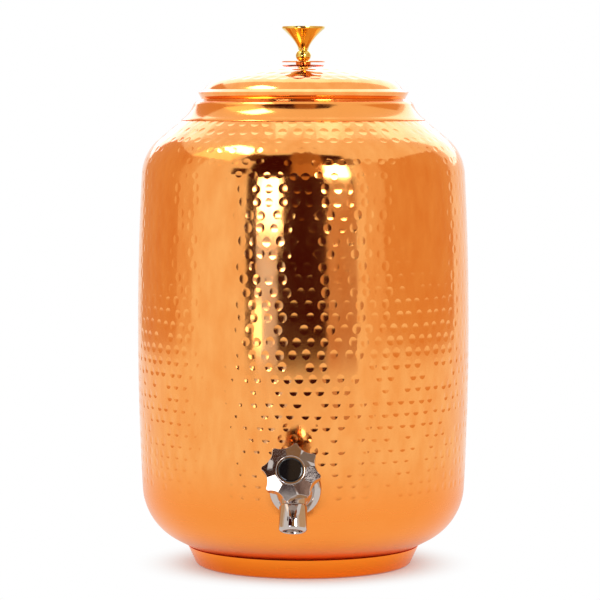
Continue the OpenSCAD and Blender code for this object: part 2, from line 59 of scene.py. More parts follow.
# Foot ring: copper sheet spun to a flared foot with a rounded lower corner, with one flange turned in at the
# table and one under the floor, where it is soldered on. The outside is brushed to a satin finish.
mm = 0.001
sheet_t = 1.0
foot_h = 13.9
foot_corner_r = 4.0
foot_corner = (73.72, foot_corner_r)
foot_flange_r = 70.52
foot_flare = 25.0
foot_top_r = 82.75
foot_top_in_r = 74.75
foot_edge = 0.25
round_steps = 168
weld_gap = 0.004
smooth_turn = 40


def linear(colour):
    """The linear colour of an sRGB hex value, with full alpha."""
    parts = [int(colour[i:i + 2], 16) / 255 for i in (1, 3, 5)]
    return [c / 12.92 if c <= 0.04045 else ((c + 0.055) / 1.055) ** 2.4 for c in parts] + [1.0]


def new_finish(name):
    """An empty material of that name."""
    finish = bpy.data.materials.new(name)
    finish.use_nodes = True
    finish.node_tree.nodes.clear()
    return finish


def add_node(finish, kind, settings, links={}):
    """Adds a node to a finish, with its properties and sockets set and its sockets linked."""
    node = finish.node_tree.nodes.new(kind)
    for name, value in settings.items():
        if isinstance(name, str) and hasattr(node, name):
            setattr(node, name, value)
        else:
            node.inputs[name].default_value = value
    for name, source in links.items():
        finish.node_tree.links.new(source, node.inputs[name])
    return node


def arc(centre, radius, start, end, steps=8):
    """Points of an arc, from one angle in degrees to another."""
    turns = [radians(start + (end - start) * i / steps) for i in range(steps + 1)]
    return [(centre[0] + radius * cos(a), centre[1] + radius * sin(a)) for a in turns]


def drawn(name, points):
    """A row of edges through points in millimetres, left selected in edit mode."""
    bpy.ops.object.select_all(action="DESELECT")
    bpy.ops.mesh.primitive_plane_add(size=mm)
    piece = bpy.context.active_object
    piece.name = name
    bpy.ops.object.mode_set(mode="EDIT")
    bpy.ops.mesh.select_mode(type="VERT")
    bpy.ops.mesh.merge(type="CENTER")
    bpy.ops.transform.translate(value=[c * mm for c in points[0]])
    for here, there in zip(points, points[1:]):
        move = [(b - a) * mm for a, b in zip(here, there)]
        bpy.ops.mesh.extrude_vertices_move(TRANSFORM_OT_translate={"value": move})
    bpy.ops.mesh.select_all(action="SELECT")
    return piece


def turned(name, outline, steps=96):
    """A piece spun round the Z axis from its outline of radius and height."""
    piece = drawn(name, [(r, 0, z) for r, z in outline])
    bpy.ops.mesh.spin(steps=steps, angle=2 * pi, center=(0, 0, 0), axis=(0, 0, 1))
    bpy.ops.mesh.select_all(action="SELECT")
    bpy.ops.mesh.remove_doubles(threshold=weld_gap * mm)
    bpy.ops.mesh.normals_make_consistent(inside=False)
    bpy.ops.object.mode_set(mode="OBJECT")
    return piece


def pick(piece):
    """Makes the piece the only one selected."""
    bpy.ops.object.select_all(action="DESELECT")
    piece.select_set(True)
    bpy.context.view_layer.objects.active = piece


def modify(piece, kind, **settings):
    """Adds a modifier to the piece and applies it."""
    pick(piece)
    modifier = piece.modifiers.new(kind.lower(), kind)
    for name, value in settings.items():
        setattr(modifier, name, value)
    bpy.ops.object.modifier_apply(modifier=modifier.name)


def thicken(piece):
    """Gives the piece the sheet's thickness, on its inner side."""
    modify(piece, "SOLIDIFY", thickness=sheet_t * mm, offset=-1, use_even_offset=True)


def soften(piece, width, segments=2, angle=smooth_turn):
    """Rounds the piece's sharp edges and shades the rest smooth."""
    modify(piece, "BEVEL", width=width * mm, segments=segments, limit_method="ANGLE",
           angle_limit=radians(angle))
    bpy.ops.object.shade_smooth_by_angle(angle=radians(angle))


def fit(piece, body, slot, finish, *nodes):
    """Gives the piece its finish and puts it on its body in place of its nodes."""
    piece.data.materials.clear()
    piece.data.materials.append(finish)
    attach(piece, body)
    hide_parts(*nodes)


# Satin copper: sheet brushed as it turned, so fine lines run round it and blur what it mirrors.
# The lines are drawn coarser than real grit so that they show, and the foot is deeper in tone.
brush_line, brush_stretch = 0.6, 0.02
satin_patch = 35.0
foot_tone_low_z, foot_tone_high_z = 13.0, 22.0
satin_copper = new_finish("satin_copper")
spot = add_node(satin_copper, "ShaderNodeTexCoord", {}).outputs["Object"]
stretched = add_node(satin_copper, "ShaderNodeMapping", {"Scale": (brush_stretch, brush_stretch, 1)},
                     {"Vector": spot}).outputs["Vector"]
lines = add_node(satin_copper, "ShaderNodeTexNoise", {"Scale": 1 / (brush_line * mm), "Detail": 3.0},
                 {"Vector": stretched}).outputs["Fac"]
clouds = add_node(satin_copper, "ShaderNodeTexNoise", {"Scale": 1 / (satin_patch * mm), "Detail": 3.0},
                  {"Vector": spot}).outputs["Fac"]
tone = add_node(satin_copper, "ShaderNodeMix",
                {"data_type": "RGBA", 6: linear("#FC9A46"), 7: linear("#F98E38")}, {0: clouds}).outputs[2]
rise = add_node(satin_copper, "ShaderNodeSeparateXYZ", {}, {"Vector": spot}).outputs["Z"]
foot_share = add_node(satin_copper, "ShaderNodeMapRange",
                      {"interpolation_type": "SMOOTHSTEP", "From Min": foot_tone_low_z * mm,
                       "From Max": foot_tone_high_z * mm, "To Min": 1.0, "To Max": 0.0},
                      {"Value": rise}).outputs["Result"]
tone = add_node(satin_copper, "ShaderNodeMix", {"data_type": "RGBA", 7: linear("#FF8B26")},
                {0: foot_share, 6: tone}).outputs[2]
gloss = add_node(satin_copper, "ShaderNodeMapRange", {"To Min": 0.25, "To Max": 0.32},
                 {"Value": lines}).outputs["Result"]
relief = add_node(satin_copper, "ShaderNodeBump", {"Strength": 0.02, "Distance": 0.02 * mm},
                  {"Height": lines}).outputs["Normal"]
shader = add_node(satin_copper, "ShaderNodeBsdfPrincipled", {"Metallic": 1.0},
                  {"Base Color": tone, "Roughness": gloss, "Normal": relief})
add_node(satin_copper, "ShaderNodeOutputMaterial", {}, {"Surface": shader.outputs["BSDF"]})

foot_outline = [(foot_flange_r, 0)]
foot_outline += arc(foot_corner, foot_corner_r, -90, -foot_flare)
foot_outline += [(foot_top_r, foot_h), (foot_top_in_r, foot_h)]
foot = turned("foot", foot_outline, round_steps)
thicken(foot)
soften(foot, foot_edge)
fit(foot, "tank", "copper_satin", satin_copper, "foot_ring")

# Base pan: the floor and the rounded lower edge of the tank, pressed from one copper disc and brazed to the
# wall above, with the joint ground flush. It stands on the foot ring.
floor_r = 81.3
floor_ring_r = 0.6 * floor_r
pan_r = 43.0
pan_centre = (72.013, 57.590)
pan_low, pan_seam, pan_high = -62.3, -17.72, -3.126
pan_outline = [(0, foot_h), (floor_ring_r, foot_h), (floor_r, foot_h)]
pan_outline += arc(pan_centre, pan_r, pan_low, pan_seam, steps=16)
pan = turned("pan", pan_outline, round_steps)
thicken(pan)
bpy.ops.object.shade_smooth_by_angle(angle=radians(smooth_turn))
fit(pan, "tank", "copper_satin", satin_copper, "base_pan")

# Tank wall: copper sheet rolled and brazed to a barrel, with the shoulder drawn in. It is hammered all round
# in rows of round marks and polished, with smaller, sparser marks in its lower part.
side_r = 2050.0
side_centre = (-1932.0, 167.045)
side_turn = 3.126
shoulder_r = 35.6
shoulder_centre = (79.402, 276.904)
shoulder_turn = 51.0
seam = (84.6, 318.503)
wall_steps = 192
wall_outline = arc(pan_centre, pan_r, pan_seam, pan_high, steps=6)
wall_outline += arc(side_centre, side_r, -side_turn, side_turn, steps=48)[1:]
wall_outline += arc(shoulder_centre, shoulder_r, side_turn, shoulder_turn, steps=14)[1:]
wall_outline += [seam]
tap_z = 67.5
pad_y = -113.309
pad_r = 18.4
pad_blend = 6.0
tail_turn = 90
tail_face = (0, pad_y, tap_z)
tap_hole_r = 10.75
hole_cut = 10
low_lip_z, high_lip_z = 44.6, 317.5


def choose(piece, kind, chosen):
    """Selects these vertices, edges or faces of the piece, by number, in edit mode."""
    pick(piece)
    bpy.ops.object.mode_set(mode="EDIT")
    bpy.ops.mesh.select_mode(type={"vertices": "VERT", "edges": "EDGE", "polygons": "FACE"}[kind])
    bpy.ops.mesh.select_all(action="DESELECT")
    bpy.ops.object.mode_set(mode="OBJECT")
    items = getattr(piece.data, kind)
    for i in chosen:
        items[i].select = True
    bpy.ops.object.mode_set(mode="EDIT")


def press_flat(piece, depth):
    """Presses the wall flat round the tap hole, that far behind the flat's face."""
    pressed = [v.index for v in piece.data.vertices
               if v.co.y < 0 and hypot(v.co.x, v.co.z - tap_z * mm) < pad_r * mm]
    choose(piece, "vertices", pressed)
    bpy.ops.transform.resize(value=(1, 0, 1), center_override=(0, (pad_y + depth) * mm, tap_z * mm),
                             use_proportional_edit=True, proportional_edit_falloff="SMOOTH",
                             proportional_size=pad_blend * mm)
    bpy.ops.object.mode_set(mode="OBJECT")


def set_on(piece, turn, place):
    """Turns a piece made about Z about the X axis, moves it to its place and applies both."""
    pick(piece)
    piece.rotation_euler = (radians(turn), 0, 0)
    piece.location = [c * mm for c in place]
    bpy.ops.object.transform_apply(location=True, rotation=True, scale=True)


def join_with(piece, tool, operation):
    """Cuts, joins or crosses the piece with a tool piece, which goes."""
    modify(piece, "BOOLEAN", object=tool, operation=operation, solver="MANIFOLD", material_mode="TRANSFER")
    bpy.data.objects.remove(tool)


def rod(name, radius, low, high, turn, place, steps=96):
    """A plain rod made about Z and set on an axis, for cutting and joining."""
    piece = turned(name, [(0, low), (radius, low), (radius, high), (0, high)], steps)
    set_on(piece, turn, place)
    return piece


tank = turned("tank_wall", wall_outline, wall_steps)
press_flat(tank, 0)

# The lining: the wall's inner face, one sheet's thickness in, bridged to the outer face at both lips
lining_outline = [(r - sheet_t, z) for r, z in wall_outline if z < shoulder_centre[1]][::2]
lining_outline += arc(shoulder_centre, shoulder_r - sheet_t, side_turn, shoulder_turn, steps=8)
lining_outline += [(seam[0] - sheet_t * cos(radians(shoulder_turn)),
                    seam[1] - sheet_t * sin(radians(shoulder_turn)))]
lining = turned("lining", lining_outline, wall_steps // 2)
pick(lining)
bpy.ops.object.mode_set(mode="EDIT")
bpy.ops.mesh.flip_normals()
bpy.ops.object.mode_set(mode="OBJECT")
press_flat(lining, sheet_t)
pick(tank)
lining.select_set(True)
bpy.ops.object.join()
low_lips = [e.index for e in tank.data.edges
            if all(tank.data.vertices[v].co.z < low_lip_z * mm for v in e.vertices)]
high_lips = [e.index for e in tank.data.edges
             if all(tank.data.vertices[v].co.z > high_lip_z * mm for v in e.vertices)]
for lips in (low_lips, high_lips):
    choose(tank, "edges", lips)
    bpy.ops.mesh.bridge_edge_loops()
    bpy.ops.object.mode_set(mode="OBJECT")

# Hammering: each row of marks has its own count and turn, and the marks wander a little. A small seat lies on
# the wall at each mark, a round-faced hammer head stands on each seat, and all the heads cut it at once. The
# struck finish only tells the cut faces apart until their rims are marked, and no piece keeps it.
head_sides = 14
head_spread = 1.1
face_steps, face_middle = 11, 5
seat_w = 1.0
seat_smallest, seat_largest = 0.9, 1.04
seat_step = 0.002
wander = 0.12
row_wander = 0.0015
struck = new_finish("struck")


def along(path, shares):
    """Points of a path at these shares of its length."""
    lengths = [0.0]
    for here, there in zip(path, path[1:]):
        lengths.append(lengths[-1] + hypot(there[0] - here[0], there[1] - here[1]))
    points = []
    for share in shares:
        reach = share * lengths[-1]
        i = min(max(bisect(lengths, reach), 1), len(path) - 1)
        part = (reach - lengths[i - 1]) / (lengths[i] - lengths[i - 1])
        points.append(tuple(a + part * (b - a) for a, b in zip(path[i - 1], path[i])))
    return points


def hammer(piece, path, shares, pitch, mark_r, mark_slope, missing, seed, kept_off=lambda x, y, z: False):
    """Beats a row of round marks into the piece at each of these shares of its outline."""
    draw = random.Random(seed)
    bpy.ops.object.select_all(action="DESELECT")
    bpy.ops.mesh.primitive_plane_add(size=seat_w * mm)
    seats = bpy.context.active_object
    bpy.ops.object.mode_set(mode="EDIT")
    bpy.ops.mesh.delete(type="FACE")
    for share in shares:
        count = round(2 * pi * along(path, [share])[0][0] / pitch)
        start = draw.uniform(0, 2 * pi)
        for i in range(count):
            turn = start + 2 * pi * (i + draw.uniform(-wander, wander)) / count
            middle = share + draw.uniform(-row_wander, row_wander)
            (r, z), (next_r, next_z) = along(path, [middle, middle + seat_step])
            place = [c * mm for c in (r * cos(turn), r * sin(turn), z)]
            size = seat_w * draw.uniform(seat_smallest, seat_largest)
            if draw.random() < missing or kept_off(*place):
                continue
            bpy.ops.mesh.primitive_plane_add(size=size * mm, location=place,
                                             rotation=(0, atan2(next_z - z, r - next_r), turn))
    bpy.ops.object.mode_set(mode="OBJECT")

    # The head: a shallow ball face under a flat top
    ball_r = mark_r / sin(radians(mark_slope))
    depth = ball_r * (1 - cos(radians(mark_slope)))
    face = arc((0, ball_r - depth), ball_r, -90, -90 + head_spread * mark_slope, face_steps)
    head = turned("head", [face[0], face[face_middle], face[-1], (0, face[-1][1])], head_sides)
    head.data.materials.append(struck)
    head.parent = seats
    seats.instance_type = "FACES"
    seats.use_instance_faces_scale = True
    seats.instance_faces_scale = 1 / (seat_w * mm)
    pick(seats)
    bpy.ops.object.duplicates_make_real()
    blows = [o for o in bpy.context.selected_objects if o not in (seats, head)]
    bpy.data.objects.remove(seats)
    bpy.data.objects.remove(head)
    pick(blows[0])
    for blow in blows:
        blow.select_set(True)
    bpy.ops.object.join()
    bpy.ops.object.transform_apply(location=True, rotation=True, scale=True)
    join_with(piece, bpy.context.active_object, "DIFFERENCE")


def crisp_rims(piece):
    """Marks the rims of the struck faces sharp, so that each mark shades apart from the sheet round it."""
    choose(piece, "polygons", [f.index for f in piece.data.polygons if f.material_index])
    bpy.ops.mesh.region_to_loop()
    bpy.ops.mesh.mark_sharp()
    bpy.ops.mesh.select_all(action="SELECT")
    piece.active_material_index = 0
    bpy.ops.object.material_slot_assign()
    bpy.ops.object.mode_set(mode="OBJECT")
    bpy.ops.object.shade_smooth_by_angle(angle=radians(smooth_turn))


# Hammered copper: the marks are left bright by the hammer's polished face and the whole wall is buffed, so it
# mirrors with a slight blur and faint upright streaks. Towards the lower edge it turns satin.
buffed_patch, buffed_grain = 30.0, 1.5
streak_w, streak_stretch = 9.0, 0.4
satin_low_z, tone_low_z, buffed_z = 46.0, 44.0, 90.0
hammered_copper = new_finish("hammered_copper")
spot = add_node(hammered_copper, "ShaderNodeTexCoord", {}).outputs["Object"]
rise = add_node(hammered_copper, "ShaderNodeSeparateXYZ", {}, {"Vector": spot}).outputs["Z"]
clouds = add_node(hammered_copper, "ShaderNodeTexNoise", {"Scale": 1 / (buffed_patch * mm), "Detail": 4.0},
                  {"Vector": spot}).outputs["Fac"]
grain = add_node(hammered_copper, "ShaderNodeTexNoise", {"Scale": 1 / (buffed_grain * mm), "Detail": 3.0},
                 {"Vector": spot}).outputs["Fac"]
upright = add_node(hammered_copper, "ShaderNodeMapping", {"Scale": (1, 1, streak_stretch)},
                   {"Vector": spot}).outputs["Vector"]
streaks = add_node(hammered_copper, "ShaderNodeTexNoise", {"Scale": 1 / (streak_w * mm), "Detail": 4.0},
                   {"Vector": upright}).outputs["Fac"]
streaks = add_node(hammered_copper, "ShaderNodeMapRange", {"From Min": 0.25, "From Max": 0.75},
                   {"Value": streaks}).outputs["Result"]
tone = add_node(hammered_copper, "ShaderNodeMix",
                {"data_type": "RGBA", 6: linear("#FDAE60"), 7: linear("#F59A4B")}, {0: streaks}).outputs[2]
buffed = add_node(hammered_copper, "ShaderNodeMapRange", {"To Min": 0.07, "To Max": 0.15},
                  {"Value": clouds}).outputs["Result"]
satin_edge = add_node(hammered_copper, "ShaderNodeMapRange",
                      {"interpolation_type": "SMOOTHSTEP", "From Min": satin_low_z * mm,
                       "From Max": buffed_z * mm, "To Min": 0.17, "To Max": 0.0},
                      {"Value": rise}).outputs["Result"]
low_share = add_node(hammered_copper, "ShaderNodeMapRange",
                     {"interpolation_type": "SMOOTHSTEP", "From Min": tone_low_z * mm,
                      "From Max": buffed_z * mm, "To Min": 1.0, "To Max": 0.0},
                     {"Value": rise}).outputs["Result"]
tone = add_node(hammered_copper, "ShaderNodeMix", {"data_type": "RGBA", 7: linear("#FB943F")},
                {0: low_share, 6: tone}).outputs[2]
gloss = add_node(hammered_copper, "ShaderNodeMath", {"operation": "ADD"},
                 {0: buffed, 1: satin_edge}).outputs[0]
relief = add_node(hammered_copper, "ShaderNodeBump", {"Strength": 0.12, "Distance": 0.02 * mm},
                  {"Height": grain}).outputs["Normal"]
shader = add_node(hammered_copper, "ShaderNodeBsdfPrincipled", {"Metallic": 1.0},
                  {"Base Color": tone, "Roughness": gloss, "Normal": relief})
add_node(hammered_copper, "ShaderNodeOutputMaterial", {}, {"Surface": shader.outputs["BSDF"]})

marks_low_z = 57.5
mark_rows = 31
row_growth = 0.17
rows_span, rows_start = 0.97, 0.012
mark_pitch = 9.3
sparse_rows = 12
unmarked_w = 4.0
marked_path = [p for p in wall_outline if p[1] > marks_low_z]
shares = [i / mark_rows for i in range(mark_rows + 1)]
wall_shares = [s * (1 - row_growth / 2 * (1 - s)) * rows_span + rows_start for s in shares]


def by_the_tap(x, y, z):
    """Whether a place is on or near the flat round the tap hole."""
    return y < 0 and hypot(x, z - tap_z * mm) < (pad_r + unmarked_w) * mm


tank.data.materials.append(hammered_copper)
hammer(tank, marked_path, wall_shares[sparse_rows:], mark_pitch,
       mark_r=3.85, mark_slope=4.6, missing=0.02, seed=7)
hammer(tank, marked_path, wall_shares[:sparse_rows], mark_pitch,
       mark_r=3.4, mark_slope=9.5, missing=0.2, seed=8, kept_off=by_the_tap)
crisp_rims(tank)
join_with(tank, rod("tap_hole", tap_hole_r, -hole_cut, hole_cut, tail_turn, tail_face), "DIFFERENCE")
bpy.ops.object.shade_smooth_by_angle(angle=radians(smooth_turn))
fit(tank, "tank", "copper_hammered", hammered_copper, "tank_shell")

# Neck collar: a ring of copper sheet spun to a hollow curve with a rounded rim, turned in to a flat land that
# the lid lies on. Its lower edge laps the shoulder and is brazed there, and it is polished bright.
neck_r = 22.0
neck_centre = (98.445, 335.6)
neck_lean = 18.0
neck_foot_turn = 231
neck_edge = 0.2
rim_r = 2.6
rim_centre = (75.049, 327.999)
rim_z = rim_centre[1] + rim_r
mouth_r = 69.299
lap = 2.6
lap_rise = 0.45
lap_way = (sin(radians(shoulder_turn)), -cos(radians(shoulder_turn)))
lap_out = (cos(radians(shoulder_turn)), sin(radians(shoulder_turn)))


def grained(name, colours, patch, grain, rough, relief, settings,
            stretch=1.0, warp=0.0, rough_by_patch=False):
    """A finish whose tone drifts in patches, over a fine grain that stretch draws out round Z. Patch and
    grain are a size in millimetres and a detail, and relief is a strength and a depth in millimetres."""
    finish = new_finish(name)
    spot = add_node(finish, "ShaderNodeTexCoord", {}).outputs["Object"]
    stretched = add_node(finish, "ShaderNodeMapping", {"Scale": (stretch, stretch, 1)},
                         {"Vector": spot}).outputs["Vector"]
    fine = add_node(finish, "ShaderNodeTexNoise", {"Scale": 1 / (grain[0] * mm), "Detail": grain[1]},
                    {"Vector": stretched}).outputs["Fac"]
    broad = add_node(finish, "ShaderNodeTexNoise",
                     {"Scale": 1 / (patch[0] * mm), "Detail": patch[1], "Distortion": warp},
                     {"Vector": spot}).outputs["Fac"]
    tone = add_node(finish, "ShaderNodeMix",
                    {"data_type": "RGBA", 6: linear(colours[0]), 7: linear(colours[1])},
                    {0: broad}).outputs[2]
    gloss = add_node(finish, "ShaderNodeMapRange", {"To Min": rough[0], "To Max": rough[1]},
                     {"Value": broad if rough_by_patch else fine}).outputs["Result"]
    bumps = add_node(finish, "ShaderNodeBump", {"Strength": relief[0], "Distance": relief[1] * mm},
                     {"Height": fine}).outputs["Normal"]
    shader = add_node(finish, "ShaderNodeBsdfPrincipled", settings,
                      {"Base Color": tone, "Roughness": gloss, "Normal": bumps})
    add_node(finish, "ShaderNodeOutputMaterial", {}, {"Surface": shader.outputs["BSDF"]})
    return finish


# Polished copper: buffed on the lathe with a soft wheel, so it mirrors clearly with faint lines round it.
polished_copper = grained("polished_copper", ("#FBA858", "#F59A48"), patch=(25, 3.0), grain=(0.8, 2.0),
                          rough=(0.08, 0.2), relief=(0.1, 0.01), settings={"Metallic": 1.0},
                          stretch=brush_stretch)

lap_edge = (seam[0] + lap * lap_way[0], seam[1] + lap * lap_way[1])
lap_face = (lap_edge[0] + lap_rise * lap_out[0], lap_edge[1] + lap_rise * lap_out[1])
neck_outline = [(seam[0] - sheet_t * lap_out[0], seam[1] - sheet_t * lap_out[1]), seam, lap_edge, lap_face]
neck_outline += arc(neck_centre, neck_r - lap_rise, neck_foot_turn, 180 + neck_lean, steps=14)
neck_outline += arc(rim_centre, rim_r, neck_lean, 90, steps=6)
neck_outline += [(mouth_r, rim_z), (mouth_r, rim_z - sheet_t)]
neck_outline += arc(rim_centre, rim_r - sheet_t, 90, neck_lean, steps=4)
neck_outline += arc(neck_centre, neck_r + sheet_t, 180 + neck_lean, neck_foot_turn, steps=10)
neck = turned("neck", neck_outline, round_steps)
soften(neck, neck_edge)
fit(neck, "tank", "copper_polished", polished_copper, "neck_collar")

# Gaskets and backing washer: flat rubber rings that seal both sides of the wall, and the plain steel washer
# that spreads the lock nut's load on the inner one. All three slide on the tap's tail.
gasket_r = 16.2
gaskets = {"outside_gasket": (0, 1.5, "outer_gasket"), "inside_gasket": (-3.5, -1, "inner_gasket")}
gasket_edge = 0.3
backing_low, backing_high = -5.0, -3.5
backing_edge = 0.2

# Moulded rubber: matt black with a fine pebbled skin and pale bloom in patches.
moulded_rubber = grained("moulded_rubber", ("#1B1B1C", "#333333"), patch=(6, 3.0), grain=(0.5, 2.0),
                         rough=(0.55, 0.75), relief=(0.3, 0.05), settings={"IOR": 1.52}, rough_by_patch=True)

# Plain steel: bright zinc-plated stock with a fine random grain.
plain_steel = grained("plain_steel", ("#C9CCCF", "#AEB2B5"), patch=(8, 3.0), grain=(0.8, 3.0),
                      rough=(0.22, 0.42), relief=(0.15, 0.02), settings={"Metallic": 1.0})


def ring_outline(outer, inner, low, high):
    """The closed outline of a plain ring."""
    return [(inner, low), (outer, low), (outer, high), (inner, high), (inner, low)]


for name, (low, high, node) in gaskets.items():
    gasket = turned(name, ring_outline(gasket_r, tap_hole_r, low, high), steps=64)
    soften(gasket, gasket_edge, segments=3)
    set_on(gasket, tail_turn, tail_face)
    fit(gasket, "tank", "rubber_black", moulded_rubber, node)
backing = turned("backing", ring_outline(gasket_r, tap_hole_r, backing_low, backing_high), steps=64)
soften(backing, backing_edge)
set_on(backing, tail_turn, tail_face)
fit(backing, "tank", "steel", plain_steel, "backing_washer")

# Tap flange: a turned brass cover plate with a rounded edge, polished and chromed. The tap's collar clamps it
# over the outer gasket.
flange_r = 17.5
flange_edge_r = 1.6
flange_low, flange_high = 1.5, 4.5
flange_lip = 0.2

# Chrome plate: bright nickel and chromium over polished brass, nearly a mirror, with faint wiping marks. Its
# grey is the plate's own, and its warm pinkish tint is a painted reflection of the copper round it. The brass
# under it is slightly wavy from the polishing wheel.
chrome_plate = grained("chrome_plate", ("#CBBFB8", "#BAADA5"), patch=(5, 4.0), grain=(7, 1.0),
                       rough=(0.03, 0.12), relief=(0.12, 0.1), settings={"Metallic": 1.0}, warp=0.6,
                       rough_by_patch=True)

flange_outline = [(tap_hole_r, flange_low), (flange_r, flange_low)]
flange_outline += arc((flange_r - flange_edge_r, flange_high - flange_edge_r), flange_edge_r, 0, 90)
flange_outline += [(tap_hole_r, flange_high), (tap_hole_r, flange_low)]
flange = turned("flange", flange_outline)
soften(flange, flange_lip)
set_on(flange, tail_turn, tail_face)
fit(flange, "tank", "chrome_plate", chrome_plate, "tap_flange")

# Tap body: a brass casting with a tail that passes through the wall, an elbow, the valve barrel that leans up
# and out, and the outlet boss below it. It is machined at its faces, polished and chromed.
bend_u = 8.0
bend = (0, pad_y - bend_u, tap_z)
barrel_tilt = 21.5
barrel_turn = 90 - barrel_tilt
barrel_r = 12.0
barrel_end = 26.0
barrel_chamfer = 0.5
elbow_r = 12.6
collar_r = 12.05
tail_r = 10.45
tail_end = -15.0
tail_chamfer = 0.8
inlet_r = 6.5
seat_low, seat_high, seat_r = 6.0, 9.0, 4.5
chamber_r = 9.0
port_w = 14.5
port_r = 4.5
outlet_turn = barrel_turn + 90
outlet = (0, bend[1] - port_w * cos(radians(barrel_tilt)), tap_z + port_w * sin(radians(barrel_tilt)))
boss_r, boss_end = 8.5, 13.5
stub_r, stub_end, stub_chamfer = 7.5, 20.0, 0.4
over = 2.0
cast_turn = 30
barrel_outline = [(0, 0), (barrel_r, 0), (barrel_r, barrel_end - barrel_chamfer),
                  (barrel_r - barrel_chamfer, barrel_end), (0, barrel_end)]
body = turned("body", barrel_outline)
set_on(body, barrel_turn, bend)
elbow = turned("elbow", [(0, -elbow_r)] + arc((0, 0), elbow_r, -90, 90, steps=32)[1:-1] + [(0, elbow_r)])
set_on(elbow, barrel_turn, bend)
join_with(body, elbow, "UNION")
join_with(body, rod("face_cut", 2 * barrel_r, -2 * barrel_r, flange_high, tail_turn, tail_face), "DIFFERENCE")
join_with(body, rod("collar", collar_r, flange_high, bend_u, tail_turn, tail_face), "UNION")
tail_outline = [(0, tail_end), (tail_r - tail_chamfer, tail_end), (tail_r, tail_end + tail_chamfer),
                (tail_r, bend_u), (0, bend_u)]
tail = turned("tail", tail_outline)
set_on(tail, tail_turn, tail_face)
join_with(body, tail, "UNION")
boss_outline = [(0, 0), (boss_r, 0), (boss_r, boss_end), (stub_r, boss_end),
                (stub_r, stub_end - stub_chamfer), (stub_r - stub_chamfer, stub_end), (0, stub_end)]
boss = turned("boss", boss_outline)
set_on(boss, outlet_turn, outlet)
join_with(body, boss, "UNION")
join_with(body, rod("inlet", inlet_r, tail_end - over, bend_u, tail_turn, tail_face), "DIFFERENCE")
way_outline = [(0, 0), (inlet_r, 0), (inlet_r, seat_low), (seat_r, seat_low), (seat_r, seat_high),
               (chamber_r, seat_high), (chamber_r, barrel_end + over), (0, barrel_end + over)]
way = turned("way", way_outline)
set_on(way, barrel_turn, bend)
join_with(body, way, "DIFFERENCE")
join_with(body, rod("port", port_r, 0, stub_end + over, outlet_turn, outlet), "DIFFERENCE")
pick(body)
bpy.ops.object.shade_smooth_by_angle(angle=radians(cast_turn))
fit(body, "tank", "chrome_plate", chrome_plate, "tap_body")

# Lock nut: turned from hexagon brass bar, with its corners chamfered, and chromed. It runs on the tail's
# thread and draws the tap tight from inside the tank.
lock_nut_af = 27.0
lock_nut_low, lock_nut_high = -12.5, -5.0
thread_gap = 0.05
nut_face = 0.1
nut_turn = 25


def nut(name, across, bore, low, high, chamfer):
    """A hexagon nut made about Z, with its corners turned off at both ends."""
    half_side = radians(30)
    corner = across / 2 / cos(half_side)
    bpy.ops.object.select_all(action="DESELECT")
    bpy.ops.mesh.primitive_cylinder_add(vertices=6, radius=corner * mm, depth=(high - low + 2 * over) * mm,
                                        location=(0, 0, (low + high) / 2 * mm), rotation=(0, 0, half_side))
    prism = bpy.context.active_object
    bpy.ops.object.transform_apply(location=True, rotation=True, scale=True)
    drop = (corner - across / 2) * chamfer
    outline = [(bore, low), (across / 2 - nut_face, low), (corner, low + drop),
               (corner + over, low + drop + over / 2), (corner + over, high - drop - over / 2),
               (corner, high - drop), (across / 2 - nut_face, high), (bore, high), (bore, low)]
    piece = turned(name, outline, steps=72)
    join_with(piece, prism, "INTERSECT")
    bpy.ops.object.shade_smooth_by_angle(angle=radians(nut_turn))
    return piece


lock_nut = nut("tail_nut", lock_nut_af, tail_r + thread_gap, lock_nut_low, lock_nut_high, chamfer=0.6)
set_on(lock_nut, tail_turn, tail_face)
fit(lock_nut, "tank", "chrome_plate", chrome_plate, "lock_nut")

# Spout nozzle: a turned and chromed sleeve pressed on the outlet stub, with a chamfer at its upper end and a
# rounded mouth.
nozzle_r = 9.5
nozzle_bore_r = 6.5
nozzle_low, nozzle_high = 13.5, 31.5
nozzle_edge_r = 2.0
nozzle_step = stub_end + thread_gap
nozzle_chamfer_w, nozzle_chamfer_h = 1.0, 1.4
nozzle_lip = 0.25
nozzle_outline = [(stub_r + thread_gap, nozzle_low), (nozzle_r - nozzle_chamfer_w, nozzle_low),
                  (nozzle_r, nozzle_low + nozzle_chamfer_h)]
nozzle_outline += arc((nozzle_r - nozzle_edge_r, nozzle_high - nozzle_edge_r), nozzle_edge_r, 0, 90)
nozzle_outline += [(nozzle_bore_r, nozzle_high), (nozzle_bore_r, nozzle_step),
                   (stub_r + thread_gap, nozzle_step), nozzle_outline[0]]
nozzle = turned("nozzle", nozzle_outline)
soften(nozzle, nozzle_lip)
set_on(nozzle, outlet_turn, outlet)
fit(nozzle, "tank", "chrome_plate", chrome_plate, "spout_nozzle")

# Headpiece: a chromed brass bonnet screwed into the barrel, with a hexagon for the spanner and a tower that
# guides the spindle and takes the gland nut.
bonnet_af = 24.0
bonnet_low, hex_low, tower_low, tower_high = 19.5, 27.0, 33.0, 40.0
thread_bore_r, stem_bore_r, bore_end = 5.5, 4.05, 31.0
tower_r = 8.0
pocket_r, pocket_low = 6.2, 36.0
screwed_r = chamber_r - thread_gap
screwed_high = hex_low + 1.0
screwed_chamfer, tower_chamfer = 0.4, 0.3
bonnet = nut("headpiece", bonnet_af, 0, hex_low, tower_low, chamfer=0.6)
stem_outline = [(0, bonnet_low), (screwed_r - screwed_chamfer, bonnet_low),
                (screwed_r, bonnet_low + screwed_chamfer), (screwed_r, screwed_high), (tower_r, screwed_high),
                (tower_r, tower_high - tower_chamfer), (tower_r - tower_chamfer, tower_high), (0, tower_high)]
join_with(bonnet, turned("tower", stem_outline, steps=72), "UNION")
